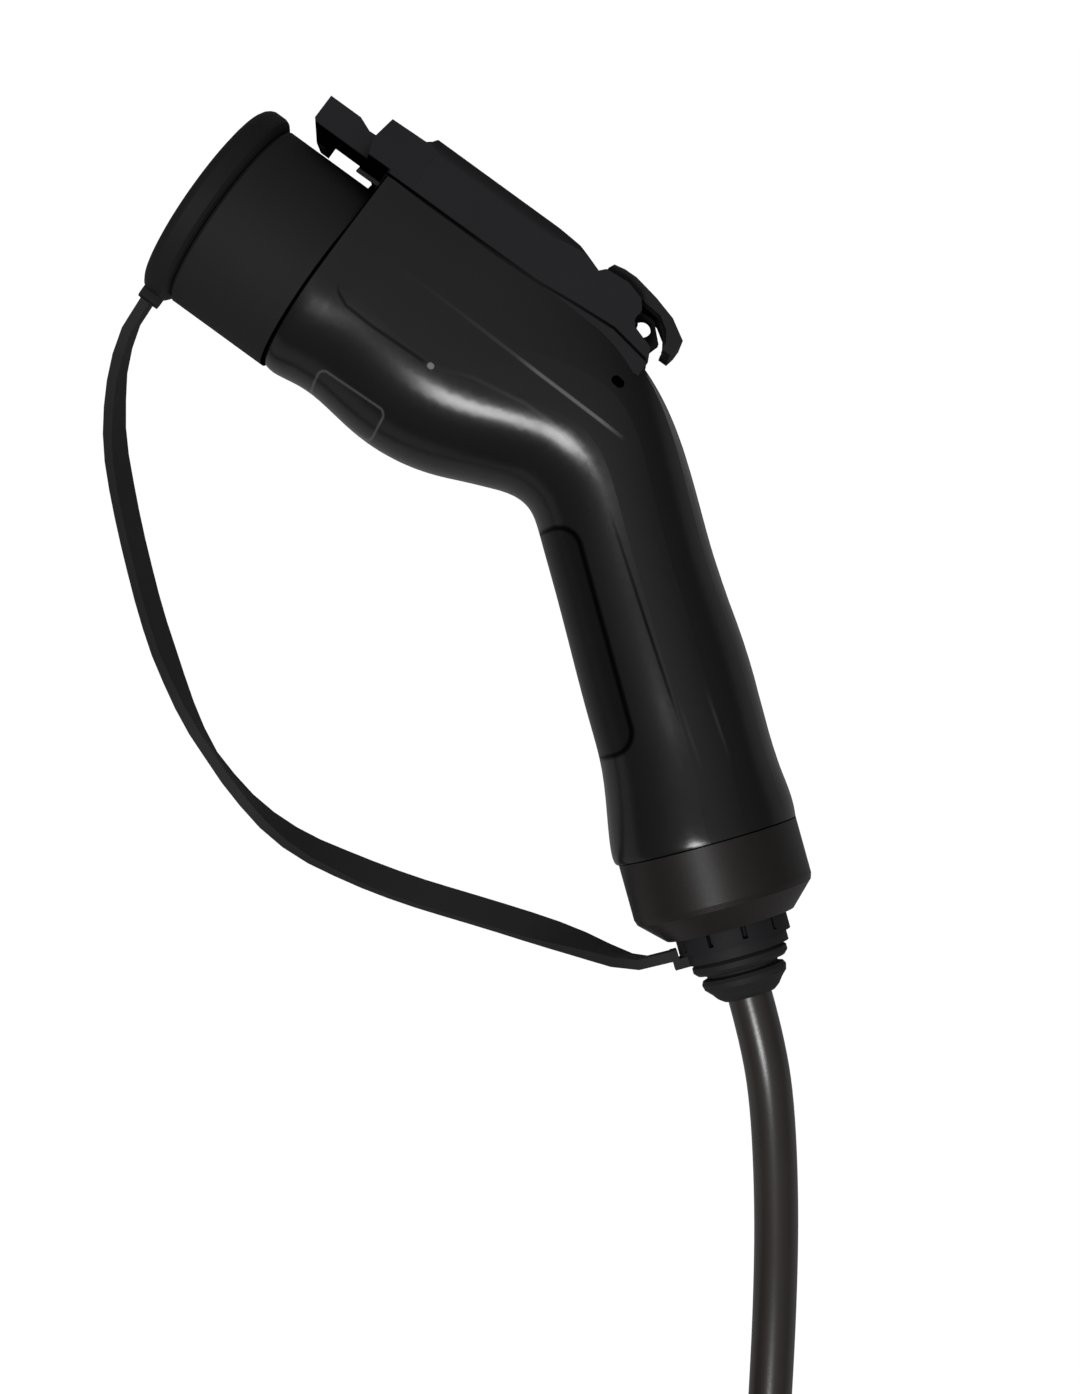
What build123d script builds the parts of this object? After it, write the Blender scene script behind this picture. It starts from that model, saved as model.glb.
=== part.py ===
from build123d import *
import os
from dataclasses import dataclass
from math import cos, pi, radians, sin, sqrt, tan

# Tethered AC charging plug, lying on its side.
# Millimetres. X runs along the nozzle from its mouth (-X) to the body (+X), Y points to the latch,
# and Z is across the plug. The origin is on the nozzle's axis, in the plane of its shoulder.
# The grip leaves the body downwards at GRIP_ANGLE, in the plane Z = 0.

# --- driving dimensions --------------------------------------------------------------------------
FIT = 0.1                    # gap between fixed pieces that slide together
RUNNING = 0.05               # radial gap of a pin in its bearing

# nozzle
NOZZLE_R = 21.9
NOZZLE_LENGTH = 24.2
NOZZLE_WALL = 3.0
NOZZLE_LEAD = 0.6            # chamfer at the mouth
INSERT_BORE_R = 16.8         # bore behind the open mouth, which carries the contact insert
MOUTH_DEPTH = 17.2           # from the mouth to the floor of the open space round the towers
SPIGOT_R = 18.4
NOSE_RING = 5.0              # length of the body's ring in front of the spigot's flange
FLANGE_R = 19.0
FLANGE_LENGTH = 2.5
GASKET = 1.0

# contact insert: row, height (Y) and side (Z) of each contact, with its radii
INSERT_R = INSERT_BORE_R - 0.2
INSERT_FLANGE_R = 18.8
TOWER_TIP = 2.0              # the towers stop this far inside the mouth
POWER_TOWER_R = 5.6
SIGNAL_TOWER_R = 3.6
POWER_R = 3.6
POWER_BORE_R = 1.8
EARTH_BORE_R = 1.4
SIGNAL_R = 1.9
SIGNAL_BORE_R = 0.75
CONTACTS = {
    "line_contact": (6.8, 7.9, POWER_TOWER_R, POWER_R, POWER_BORE_R),
    "neutral_contact": (6.8, -7.9, POWER_TOWER_R, POWER_R, POWER_BORE_R),
    "earth_contact": (-10.6, 0.0, POWER_TOWER_R, POWER_R, EARTH_BORE_R),
    "pilot_contact": (-5.5, 10.6, SIGNAL_TOWER_R, SIGNAL_R, SIGNAL_BORE_R),
    "proximity_contact": (-5.5, -10.6, SIGNAL_TOWER_R, SIGNAL_R, SIGNAL_BORE_R),
}
SOCKET_DEPTH = 14.0
SPLIT = 0.4                  # slot across a contact's front
CRIMP_LENGTH = 11.0          # crimp barrel behind the insert's flange

# body
WALL = 2.6
ELBOW_X = 76.5               # the grip's axis leaves the nozzle's axis here
GRIP_ANGLE = -38.5
GRIP_LENGTH = 77.0           # along the grip's axis, from the elbow to the end collar
CREASE_RISE = 11.0           # the side's crease above the widest line
CREASE_INSET = 0.7
SHOULDER_DROP = 0.3
SHOULDER_INSET = 3.0
NECK_R = 16.8
NECK_WALL = 3.3
NECK_LENGTH = 11.0
END_WALL = 2.5

# grip pad
PAD_THICKNESS = 1.6
PAD_START = 4.4
PAD_END = 54.0
PAD_EDGE = -9.8
PAD_CORNER = 5.0

# latch
PIVOT = (24.0, 30.0)
PIVOT_PIN_R = 1.5
PIVOT_HUB_R = 3.6
ARM_HALF = 6.5
THUMB_HALF = 14.0
LOCK_HOLE = (61.2, 31.9)
LOCK_HOLE_R = 1.95
LOCK_LUG_HALF = 3.0
COVER_WALL = 2.0
COVER_HALF = 17.2
COVER_TOP = 37.5
COVER_CORNER = 3.0           # rounding of the cover's long top edges
SEAM_Y = 25.0

# latch spring
SPRING_X = 53.0
SPRING_R = 2.6
SPRING_WIRE = 0.8
SPRING_TURNS = 5
SPRING_SEAT_Y = 27.4
LEVER_SEAT_Y = 35.2

# proximity switch
PLUNGER_X = 45.0
PLUNGER_R = 1.4
PLUNGER_BOTTOM = 21.8
NUB_Y = 28.2                 # underside of the lever's nub over the plunger
PLUNGER_GAP = 0.2
SWITCH_SIZE = (12.8, 5.8, 6.4)
SWITCH_TOP = 22.8
BOARD_SIZE = (20.0, 1.6, 14.0)

# end collar, gland and strain relief: positions along the grip's axis from the elbow
END_SHIFT = -0.25            # the end pieces sit this far to the finger side of the grip's axis
COLLAR_R = 19.6
COLLAR_STRAIGHT_END = 90.5
COLLAR_END = 95.5
COLLAR_END_R = 14.1
GLAND_R = 9.4
GLAND_FLANGE_R = 12.8
NUT_R = 12.2
NUT_END = 99.4
NUT_SLOTS = 10
NUT_SLOT = 1.2
EYE_R = 11.2
EYE_THICKNESS = 2.2
BELLOWS_NECK_R = 7.9
BELLOWS_END = 111.2

# dust cap and strap
CAP_R = 23.5
CAP_GAP = 0.3
CAP_RIM = 5.2
CAP_DOME = 0.9
CAP_FACE = 3.6
SKIRT_WALL = 1.5
SKIRT_LENGTH = 6.5
LUG_WIDTH = 6.8
LUG_X = -27.9
LUG_TIP = -25.4
STRAP_WIDTH = 6.2
STRAP_THICKNESS = 2.2

# cable
CABLE_D = 9.6
JACKET_END = 62.0            # the jacket stops here inside the grip
WIRE_R = 1.7
SIGNAL_WIRE_R = 0.9
COIL_ROWS = (4, 3, 4, 3)     # turns in each row, from the floor up
COIL_MEAN_D = 105.6
COIL_CENTRE = (207.7, -239.2)
TIE_WIDTH = 9.0
TIE_THICKNESS = 1.0

FLOOR = -CAP_R
MOUTH_X = -NOZZLE_LENGTH
FLANGE_X = NOSE_RING + FIT
GASKET_X = FLANGE_X + FLANGE_LENGTH
INSERT_FLANGE_X = GASKET_X + GASKET
INSERT_END_X = INSERT_FLANGE_X + FLANGE_LENGTH
MOUTH_FLOOR_X = MOUTH_X + MOUTH_DEPTH
TOWER_TIP_X = MOUTH_X + TOWER_TIP


# --- frames and small helpers --------------------------------------------------------------------
def grip(along, off=0.0):
    """Point on the side view, by its distance along the grip's axis and off it to the latch side."""
    a = radians(GRIP_ANGLE)
    return (ELBOW_X + along * cos(a) - off * sin(a), along * sin(a) + off * cos(a))


# local X runs along the grip's axis, local Y to the latch side and Z across
GRIP_FRAME = Pos(ELBOW_X, 0, 0) * Rot(0, 0, GRIP_ANGLE)
END_FRAME = GRIP_FRAME * Pos(0, END_SHIFT, 0)


def turned(points):
    """Solid turned about X from a closed outline of (along, radius) points."""
    return revolve(make_face(Polyline(*points, close=True)), Axis.X)


def bar(radius, length):
    """Round bar that stands on the origin."""
    return Cylinder(radius, length, align=(Align.CENTER, Align.CENTER, Align.MIN))


def rod(radius, start, end, y=0.0, z=0.0):
    """Round bar along X."""
    return Pos(start, y, z) * Rot(0, 90, 0) * bar(radius, end - start)


def pipe(outer, inner, start, end):
    """Tube round the X axis."""
    return rod(outer, start, end) - rod(inner, start - 1, end + 1)


def cross_rod(radius, x, y, start, end):
    """Round bar along Z."""
    return Pos(x, y, start) * bar(radius, end - start)


def up_rod(radius, x, z, start, end):
    """Round bar along Y."""
    return Pos(x, start, z) * Rot(-90, 0, 0) * bar(radius, end - start)


def block(x, y, z):
    """Box from its lowest and highest value on each axis."""
    size = [b - a for a, b in (x, y, z)]
    middle = [(a + b) / 2 for a, b in (x, y, z)]
    return Pos(*middle) * Box(*size)


def slab(points, half):
    """Side outline made a plate of this half width."""
    return extrude(make_face(Polyline(*points, close=True)), half, both=True)


def mix(a, b, share):
    return tuple(p + (q - p) * share for p, q in zip(a, b))


# --- body -----------------------------------------------------------------------------------------
@dataclass
class Station:
    """One section of the body: where it crosses the outline on the finger side and the latch side."""
    foot: tuple
    head: tuple
    half_width: float
    roundness: float         # 0 is the flat sided nose, 1 the round grip


STATIONS = [
    Station((0.0, -21.1), (0.0, SEAM_Y), 21.0, 0.0),
    Station((8.0, -20.95), (8.0, SEAM_Y), 20.95, 0.0),
    Station((15.0, -20.9), (15.0, SEAM_Y), 20.9, 0.0),
    Station((22.0, -21.8), (22.0, SEAM_Y), 20.8, 0.0),
    Station((30.0, -22.05), (30.0, SEAM_Y), 20.7, 0.0),
    Station((37.5, -21.0), (37.5, SEAM_Y + 0.4), 20.5, 0.03),
    Station((45.5, -18.4), (46.5, SEAM_Y + 1.0), 20.2, 0.1),
    Station((53.5, -15.0), (57.0, SEAM_Y + 1.8), 19.8, 0.22),
    Station((61.0, -12.75), (68.5, 24.6), 19.2, 0.45),
    Station((66.2, -14.1), (80.2, 18.6), 18.6, 0.75),
    Station(grip(8.0, -17.3), grip(8.0, 17.3), 17.9, 0.95),
    Station(grip(30.0, -17.5), grip(30.0, 18.0), 17.9, 1.0),
    Station(grip(53.0, -17.7), grip(53.0, 18.7), 18.2, 1.0),
    Station(grip(66.0, -19.4), grip(66.0, 19.0), 19.0, 1.0),
    Station(grip(GRIP_LENGTH, -19.9), grip(GRIP_LENGTH, 19.35), COLLAR_R, 1.0),
]


def section(station, inset=0.0):
    """Closed outline of the body at a station, drawn in its own plane and set in from the surface."""
    run = Vector(*station.head) - Vector(*station.foot)
    up = run.normalized()
    height = run.length - 2 * inset
    width = station.half_width - inset
    share = station.roundness
    girdle = mix((width,), (height / 2,), share)[0]
    above = height - girdle

    def corner(flat, turn):
        arc = (width * cos(radians(turn)), girdle + above * sin(radians(turn)))
        return mix(flat, arc, share)

    def between(a, b, turn):
        flat = mix(a, b, 0.5)
        return corner((flat[0] + 0.15, flat[1]), turn)

    flat_crease = (width - CREASE_INSET, girdle + CREASE_RISE)
    flat_shoulder = (width - SHOULDER_INSET, height - SHOULDER_DROP)
    widest = (width, girdle)
    crease = corner(flat_crease, 25)
    shoulder = corner(flat_shoulder, 60)
    band = between(widest, flat_crease, 12.5)
    flank = between(flat_crease, flat_shoulder, 42.5)

    def other(p):
        return (-p[0], p[1])

    edges = [
        ThreePointArc(other(widest), (0, 0), widest),
        ThreePointArc(widest, band, crease),
        ThreePointArc(crease, flank, shoulder),
        ThreePointArc(shoulder, (0, height), other(shoulder)),
        ThreePointArc(other(shoulder), other(flank), other(crease)),
        ThreePointArc(other(crease), other(band), other(widest)),
    ]
    foot = Vector(*station.foot) + up * inset
    plane = Plane(origin=foot, x_dir=(0, 0, -1), z_dir=(up.Y, -up.X, 0))
    return plane * make_face(edges)


def body_form(inset=0.0, ruled=False):
    return loft([section(s, inset) for s in STATIONS], ruled=ruled)


BODY = body_form()
GRIP_REACH = 60.0            # more than any section's size

# screws that join the body's halves: x, y and the depth of the head's seat from the middle plane
SCREW_R = 1.5
SCREW_HEAD_R = 2.9
SCREW_HEAD_LENGTH = 2.2
SCREW_LENGTH = 20.0
BOSS_R = 3.5
SCREWS = [(31.0, 19.5), (46.5, -11.8), (65.5, 14.6), grip(24.0, 10.4), grip(52.0, 10.6)]
SEAT_DEPTH = 9.0


def screw_bosses():
    posts = [cross_rod(BOSS_R, x, y, -GRIP_REACH, GRIP_REACH) for x, y in SCREWS]
    return BODY & (posts[0] + posts[1:])


def screw_holes():
    """Through the right half a shank hole under a counterbore, and a blind hole in the left half."""
    holes = []
    for x, y in SCREWS:
        holes.append(cross_rod(SCREW_R + RUNNING, x, y, -SEAT_DEPTH - 1, SCREW_LENGTH - SEAT_DEPTH + 1))
        holes.append(cross_rod(SCREW_HEAD_R + FIT, x, y, -GRIP_REACH, -SEAT_DEPTH))
    return holes


def cavity():
    """Room inside the body, from behind the nose ring to the end wall."""
    room = body_form(WALL, ruled=True)
    nose = block((-10, NOSE_RING), (-GRIP_REACH, GRIP_REACH), (-GRIP_REACH, GRIP_REACH))
    across = (-GRIP_REACH, GRIP_REACH)
    end = GRIP_FRAME * block((GRIP_LENGTH - END_WALL, GRIP_LENGTH + 20), across, across)
    return room - nose - end


def grip_pad_form():
    """Soft pad let into the finger side of the grip, flush with its surface."""
    reach = -26.0
    outline = Pos((PAD_START + PAD_END) / 2, (PAD_EDGE + reach) / 2) * RectangleRounded(
        PAD_END - PAD_START, PAD_EDGE - reach, PAD_CORNER)
    prism = GRIP_FRAME * extrude(outline, GRIP_REACH, both=True)
    return (BODY & prism) - body_form(PAD_THICKNESS)


def nose_ledge():
    """Short lip over the nozzle, under the latch arm."""
    return slab([(-6.0, SEAM_Y), (-5.0, 24.0), (-2.6, 22.9), (0.5, 22.9), (0.5, SEAM_Y)], 12.0)


RIB_START = INSERT_END_X + FIT
RIB_LENGTH = 2.0
RAIL_INNER = 6.0
CLAMP = (66.0, 74.0)         # along the grip
CLAMP_HALF = 11.0
CLAMP_GAP = 0.8
CLAMP_SCREW_OFF = 8.0


def body_shell():
    """Both halves together, before they are parted in the plane Z = 0."""
    shell = BODY - cavity()
    rib = pipe(GRIP_REACH, INSERT_R - 0.6, RIB_START, RIB_START + RIB_LENGTH)
    board_y = SWITCH_TOP - SWITCH_SIZE[1] - BOARD_SIZE[1]
    rail = block((PLUNGER_X - 5, PLUNGER_X + 11), (board_y - 2.0, board_y - FIT), (RAIL_INNER, GRIP_REACH))
    saddle = END_FRAME * block(CLAMP, (-CLAMP_HALF, CLAMP_HALF), (-GRIP_REACH, -CLAMP_GAP))
    saddle -= END_FRAME * rod(CABLE_D / 2 + RUNNING, CLAMP[0] - 1, CLAMP[1] + 1)
    shell += BODY & (rib + rail + mirror(rail, about=Plane.XY) + saddle)
    shell += screw_bosses()
    shell += nose_ledge()
    neck_start = GRIP_LENGTH - END_WALL
    neck_end = GRIP_LENGTH + NECK_LENGTH
    shell -= END_FRAME * rod(NECK_R - NECK_WALL, neck_start - 1, neck_end + 1)
    shell += END_FRAME * pipe(NECK_R, NECK_R - NECK_WALL, neck_start, neck_end)
    shell -= rod(SPIGOT_R + FIT, -1, NOSE_RING + 1)
    shell -= rod(FLANGE_R + FIT, NOSE_RING, RIB_START)
    shell -= up_rod(PLUNGER_R + 0.3, PLUNGER_X, 0, SWITCH_TOP + FIT, SEAM_Y + 4)
    shell += spring_seat() + pin_pads()
    for hole in screw_holes():
        shell -= hole
    for side in (-1, 1):
        shell -= END_FRAME * cross_rod(SCREW_R + RUNNING, sum(CLAMP) / 2, side * CLAMP_SCREW_OFF, -9, 0)
    return shell


def spring_seat():
    seat = up_rod(SPRING_R + 1.0, SPRING_X, 0, SEAM_Y, SPRING_SEAT_Y)
    return seat + up_rod(SPRING_R - SPRING_WIRE - 0.4, SPRING_X, 0, SEAM_Y, SPRING_SEAT_Y + 1.4)


def pin_pads():
    """Pads that hold the pivot pin up in its hooks."""
    pads = []
    for side in (-1, 1):
        low, high = sorted((side * (ARM_HALF + 1.0), side * (ARM_HALF + 5.0)))
        top = PIVOT[1] - PIVOT_PIN_R - RUNNING
        pads.append(block((PIVOT[0] - 2, PIVOT[0] + 2), (SEAM_Y - 1, top), (low, high)))
    return pads[0] + pads[1]


# --- nozzle and contacts --------------------------------------------------------------------------
def nozzle():
    bore = NOZZLE_R - NOZZLE_WALL
    return turned([
        (MOUTH_X, NOZZLE_R - NOZZLE_LEAD), (MOUTH_X + NOZZLE_LEAD, NOZZLE_R), (0, NOZZLE_R), (0, SPIGOT_R),
        (FLANGE_X, SPIGOT_R), (FLANGE_X, FLANGE_R), (GASKET_X, FLANGE_R), (GASKET_X, INSERT_BORE_R),
        (MOUTH_FLOOR_X, INSERT_BORE_R), (MOUTH_FLOOR_X, bore), (MOUTH_X + NOZZLE_LEAD, bore),
        (MOUTH_X, bore + NOZZLE_LEAD),
    ])


def insert_gasket():
    return pipe(INSERT_FLANGE_R, INSERT_R + FIT, GASKET_X, INSERT_FLANGE_X)


def contact_insert():
    """Moulded insert: a plug in the nozzle's bore and a flange behind it, bored for the contacts."""
    body = rod(INSERT_R, MOUTH_FLOOR_X, INSERT_FLANGE_X) + rod(INSERT_FLANGE_R, INSERT_FLANGE_X, INSERT_END_X)
    for y, z, tower_r, contact_r, bore_r in CONTACTS.values():
        body -= rod(contact_r + FIT, MOUTH_FLOOR_X - 1, INSERT_END_X + 1, y, z)
    return body


def contact_towers():
    """A shroud round each contact, with its foot on the insert and its tip just inside the mouth."""
    towers = []
    for y, z, tower_r, contact_r, bore_r in CONTACTS.values():
        tower = rod(tower_r, TOWER_TIP_X, MOUTH_FLOOR_X, y, z)
        tower -= rod(contact_r + FIT, TOWER_TIP_X + 1.0, MOUTH_FLOOR_X + 1, y, z)
        tower -= rod(bore_r + 0.5, TOWER_TIP_X - 1, TOWER_TIP_X + 2, y, z)
        towers.append(tower)
    return Compound(towers)


def contact(name):
    """Turned socket with a split front, and a crimp barrel behind the insert."""
    y, z, tower_r, contact_r, bore_r = CONTACTS[name]
    front = TOWER_TIP_X + 1.0 + FIT
    rear = INSERT_END_X + CRIMP_LENGTH
    crimp_r = contact_r - 0.5
    wire_r = SIGNAL_WIRE_R if contact_r == SIGNAL_R else WIRE_R
    shape = rod(contact_r, front, INSERT_END_X) + rod(crimp_r, INSERT_END_X - 1, rear)
    shape -= rod(bore_r, front - 1, front + SOCKET_DEPTH)
    shape -= rod(wire_r + RUNNING, INSERT_END_X + 2, rear + 1)
    across = (-contact_r - 1, contact_r + 1)
    shape -= block((front - 1, front + SOCKET_DEPTH - 3), (-SPLIT / 2, SPLIT / 2), across)
    return Pos(0, y, z) * shape


# --- latch ----------------------------------------------------------------------------------------
def cover_half_width(reach, inset=0.0):
    """Plan of the cover: narrower at its front and towards the grip."""
    plan = [(-12.0, COVER_HALF - 1.6), (6.0, COVER_HALF), (36.0, COVER_HALF), (70.0, COVER_HALF - 2.2)]
    upper = [(x, w - inset) for x, w in plan]
    lower = [(x, -w) for x, w in reversed(upper)]
    face = make_face(Polyline(*upper, *lower, close=True))
    return Rot(90, 0, 0) * extrude(face, reach, both=True)


LOCK_X, LOCK_Y = LOCK_HOLE
COVER_SIDE = [
    (-6.0, SEAM_Y - 3), (-5.5, SEAM_Y + 0.4), (-7.1, 29.7), (-6.1, 35.2), (2.5, 35.4), (3.5, 36.2),
    (4.1, COVER_TOP), (34.8, COVER_TOP), (41.2, COVER_TOP - 0.6), (47.3, 34.9), (48.4, 36.1), (53.8, 36.6),
    (57.9, 35.5), (59.3, 33.8), (60.2, 30.0), (65.4, 28.4), (66.8, 25.6), (66.8, SEAM_Y - 3),
]
COVER_ROOM = [
    (-20.0, SEAM_Y - 4), (-20.0, 33.3), (4.4, 33.4), (5.2, COVER_TOP - 2), (34.8, COVER_TOP - 2),
    (41.0, COVER_TOP - 2.6), (46.9, 32.9), (47.4, 60.0), (80.0, 60.0), (80.0, SEAM_Y - 4),
]
COVER_REAR = (57.2, 58.8)    # wall across the cover behind the spring
LOCK_LUG = [
    (57.6, SEAM_Y - 3), (57.6, 34.6), (62.4, 34.6), (66.0, 31.2), (65.2, 28.6), (66.8, 25.4), (66.8, SEAM_Y - 3),
]


def latch_cover():
    """Housing over the latch, open below, in front for the arm and behind for the thumb plate."""
    outer = slab(COVER_SIDE, COVER_HALF + 5) & cover_half_width(GRIP_REACH)
    end_view = Plane.YZ * Pos(COVER_TOP - 20, 0) * RectangleRounded(40, 2 * COVER_HALF, COVER_CORNER)
    outer &= extrude(end_view, 100, both=True)
    room = slab(COVER_ROOM, COVER_HALF + 5) & cover_half_width(GRIP_REACH, COVER_WALL)
    cover = outer - room
    reach = COVER_HALF - COVER_WALL
    for side in (-1, 1):
        inner, wall = side * (ARM_HALF + 1.5), side * (COVER_HALF - 1.0)
        low, high = sorted((inner, wall))
        hook = cross_rod(PIVOT_HUB_R, *PIVOT, low, high)
        across = (PIVOT[0] - PIVOT_HUB_R, PIVOT[0] + PIVOT_HUB_R)
        hook += block(across, (PIVOT[1], COVER_TOP - 1), (low, high))
        cover += hook
    pin = PIVOT_PIN_R + RUNNING
    cover -= cross_rod(pin, *PIVOT, -reach, reach)
    cover -= block((PIVOT[0] - pin, PIVOT[0] + pin), (SEAM_Y - 4, PIVOT[1]), (-reach, reach))
    cover += block(COVER_REAR, (SEAM_Y - 3, 34.0), (-reach, reach))
    cover += slab(LOCK_LUG, LOCK_LUG_HALF)
    cover -= cross_rod(LOCK_HOLE_R, LOCK_X, LOCK_Y, -GRIP_REACH, GRIP_REACH)
    cover -= BODY
    cover -= spring_seat() + pin_pads()
    return cover.solids().sort_by(SortBy.VOLUME)[-1]



LEVER_ARM = [
    (-20.9, 32.7), (-21.0, 27.0), (-17.5, 22.8), (-15.4, 22.8), (-15.4, 25.4), (-4.0, 25.4), (20.4, 26.4),
    (27.6, 26.6), (42.4, 30.4), (43.2, NUB_Y), (46.8, NUB_Y), (48.9, 31.2), (50.2, LEVER_SEAT_Y),
    (56.0, LEVER_SEAT_Y), (56.0, 37.6), (48.6, 37.6), (48.0, 33.0), (47.0, 32.5), (44.0, 32.6), (20.0, 33.0),
    (-9.9, 31.4), (-13.1, 32.7),
]
THUMB_PLATE = [
    (48.4, 35.8), (48.4, 37.0), (49.0, 38.3), (51.4, 38.8), (54.3, 38.9), (60.2, 37.9), (65.5, 36.5),
    (70.0, 33.9), (70.3, 33.3), (69.6, 29.9), (67.5, 29.9), (67.3, 31.5), (65.9, 33.6), (63.1, 35.4),
    (57.6, 35.8),
]
LUG_POCKET = [(56.6, 29.0), (56.6, 37.35), (60.2, 36.75), (65.3, 35.4), (68.9, 33.3), (68.4, 29.0)]


def latch_lever():
    """Rocker: the hook in front, the pivot hub in the middle and the thumb plate behind."""
    arm = slab(LEVER_ARM, ARM_HALF) + cross_rod(PIVOT_HUB_R, *PIVOT, -ARM_HALF, ARM_HALF)
    plate = slab(THUMB_PLATE, COVER_HALF + 5) & cover_half_width(GRIP_REACH, COVER_HALF - THUMB_HALF + 0.4)
    lever = arm + (plate - slab(LUG_POCKET, LOCK_LUG_HALF + 0.8))
    lever -= cross_rod(PIVOT_PIN_R + RUNNING, *PIVOT, -ARM_HALF - 1, ARM_HALF + 1)
    return lever


def pivot_pin():
    half = COVER_HALF - COVER_WALL - 0.4
    return cross_rod(PIVOT_PIN_R, *PIVOT, -half, half)


def latch_spring():
    """Compression spring under the thumb end: hexagons of wire joined round its turns."""
    height = LEVER_SEAT_Y - SPRING_SEAT_Y - SPRING_WIRE - 2 * FIT
    radius = SPRING_R - SPRING_WIRE / 2
    steps = 12 * SPRING_TURNS
    sections = []
    for n in range(steps + 1):
        turn = 2 * pi * SPRING_TURNS * n / steps
        out = Vector(cos(turn), sin(turn), 0)
        along = Vector(-sin(turn), cos(turn), height / (2 * pi * radius * SPRING_TURNS))
        plane = Plane(origin=out * radius + Vector(0, 0, height * n / steps), x_dir=out, z_dir=along)
        sections.append(plane * RegularPolygon(SPRING_WIRE / 2, 6))
    coil = loft(sections, ruled=True)
    return Pos(SPRING_X, SPRING_SEAT_Y + FIT + SPRING_WIRE / 2, 0) * Rot(-90, 0, 0) * coil


# --- proximity switch -----------------------------------------------------------------------------
SWITCH_BASE = SWITCH_TOP - SWITCH_SIZE[1]
SWITCH_MIDDLE = PLUNGER_X + 2.5


def proximity_switch():
    length, height, width = SWITCH_SIZE
    start = SWITCH_MIDDLE - length / 2
    case = block((start, start + length), (SWITCH_BASE, SWITCH_TOP), (-width / 2, width / 2))
    case = fillet(case.edges().filter_by(Axis.Y), 0.6)
    return case - up_rod(PLUNGER_R + FIT, PLUNGER_X, 0, PLUNGER_BOTTOM - 1.5, SWITCH_TOP + 1)


def switch_plunger():
    stem = up_rod(PLUNGER_R, PLUNGER_X, 0, PLUNGER_BOTTOM, NUB_Y - PLUNGER_GAP)
    return fillet(stem.edges().sort_by(Axis.Y)[-1], 0.5)


def switch_board():
    length, height, width = BOARD_SIZE
    top = SWITCH_BASE
    start = PLUNGER_X - 5
    return block((start, start + length - 4), (top - height, top), (-width / 2, width / 2))


# --- grip end -------------------------------------------------------------------------------------
def end_collar():
    """Ring that closes over both halves' neck, with a chamfered end wall for the gland."""
    start = GRIP_LENGTH + FIT / 2
    neck_end = GRIP_LENGTH + NECK_LENGTH + FIT
    return END_FRAME * turned([
        (start, NECK_R + FIT), (start, COLLAR_R), (COLLAR_STRAIGHT_END - 1.2, COLLAR_R),
        (COLLAR_STRAIGHT_END, COLLAR_R - 0.4), (COLLAR_END, COLLAR_END_R), (COLLAR_END, GLAND_R + FIT),
        (neck_end, GLAND_R + FIT), (neck_end, NECK_R + FIT),
    ])


GLAND_BORE_R = 6.2
SEAL_LENGTH = 7.0
GLAND_START = GRIP_LENGTH + NECK_LENGTH - 4.0


def gland_body():
    flange_end = GRIP_LENGTH + NECK_LENGTH
    end = NUT_END - 0.8
    return END_FRAME * turned([
        (GLAND_START, GLAND_BORE_R), (GLAND_START, GLAND_FLANGE_R), (flange_end, GLAND_FLANGE_R),
        (flange_end, GLAND_R), (end, GLAND_R), (end, BELLOWS_NECK_R), (end - 3, GLAND_BORE_R),
    ])


def gland_seal():
    bore = CABLE_D / 2 + RUNNING
    return END_FRAME * pipe(GLAND_BORE_R - FIT, bore, GLAND_START, GLAND_START + SEAL_LENGTH)


def castle_nut():
    """Gland nut with square slots all round, screwed up to the collar."""
    start = COLLAR_END + FIT
    nut = pipe(NUT_R, GLAND_R + RUNNING, start, NUT_END)
    slot = block((start - 1, NUT_END - 1.0), (GLAND_R + 0.9, NUT_R + 1), (-NUT_SLOT / 2, NUT_SLOT / 2))
    for n in range(NUT_SLOTS):
        nut -= Rot(360 * n / NUT_SLOTS + 9, 0, 0) * slot
    return END_FRAME * nut


EYE_START = NUT_END + FIT


EYE_TAB = 13.9               # the strap joins the eye's tab this far from the axis
EYE_STEP = 2.0               # the tab reaches this far forward beside the nut


def strap_eye():
    end = EYE_START + EYE_THICKNESS
    across = (-LUG_WIDTH / 2, LUG_WIDTH / 2)
    ring = pipe(EYE_R, BELLOWS_NECK_R + FIT, EYE_START, end)
    ring += block((EYE_START, end), (-NUT_R - 1.0, -EYE_R + 1.0), across)
    ring += block((EYE_START - EYE_STEP, end), (-EYE_TAB, -NUT_R - 0.3), across)
    return END_FRAME * ring


def cable_bellows():
    """Ribbed strain relief between the gland and the cable."""
    bore = CABLE_D / 2 + RUNNING
    start = NUT_END - 0.7
    neck_end = EYE_START + EYE_THICKNESS + FIT
    ribs = [
        (0.0, BELLOWS_NECK_R), (0.1, 9.7), (0.8, 10.4), (1.9, 10.4), (2.7, 9.6), (3.0, 8.0), (3.6, 7.7),
        (4.0, 8.9), (4.8, 9.3), (6.0, 9.0),
    ]
    return END_FRAME * turned([
        (start, bore), (start, BELLOWS_NECK_R), *[(neck_end + t, r) for t, r in ribs],
        (BELLOWS_END - 2.2, 7.8), (BELLOWS_END - 0.9, 6.8), (BELLOWS_END, 5.6), (BELLOWS_END, bore),
    ])


def cable_clamp():
    """Saddle screwed down on the jacket inside the grip."""
    saddle = block(CLAMP, (-CLAMP_HALF, CLAMP_HALF), (CLAMP_GAP, 7.4))
    saddle -= rod(CABLE_D / 2 + RUNNING, CLAMP[0] - 1, CLAMP[1] + 1)
    for side in (-1, 1):
        saddle -= cross_rod(SCREW_R + RUNNING, sum(CLAMP) / 2, side * CLAMP_SCREW_OFF, 0, 8)
    return END_FRAME * saddle


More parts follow.
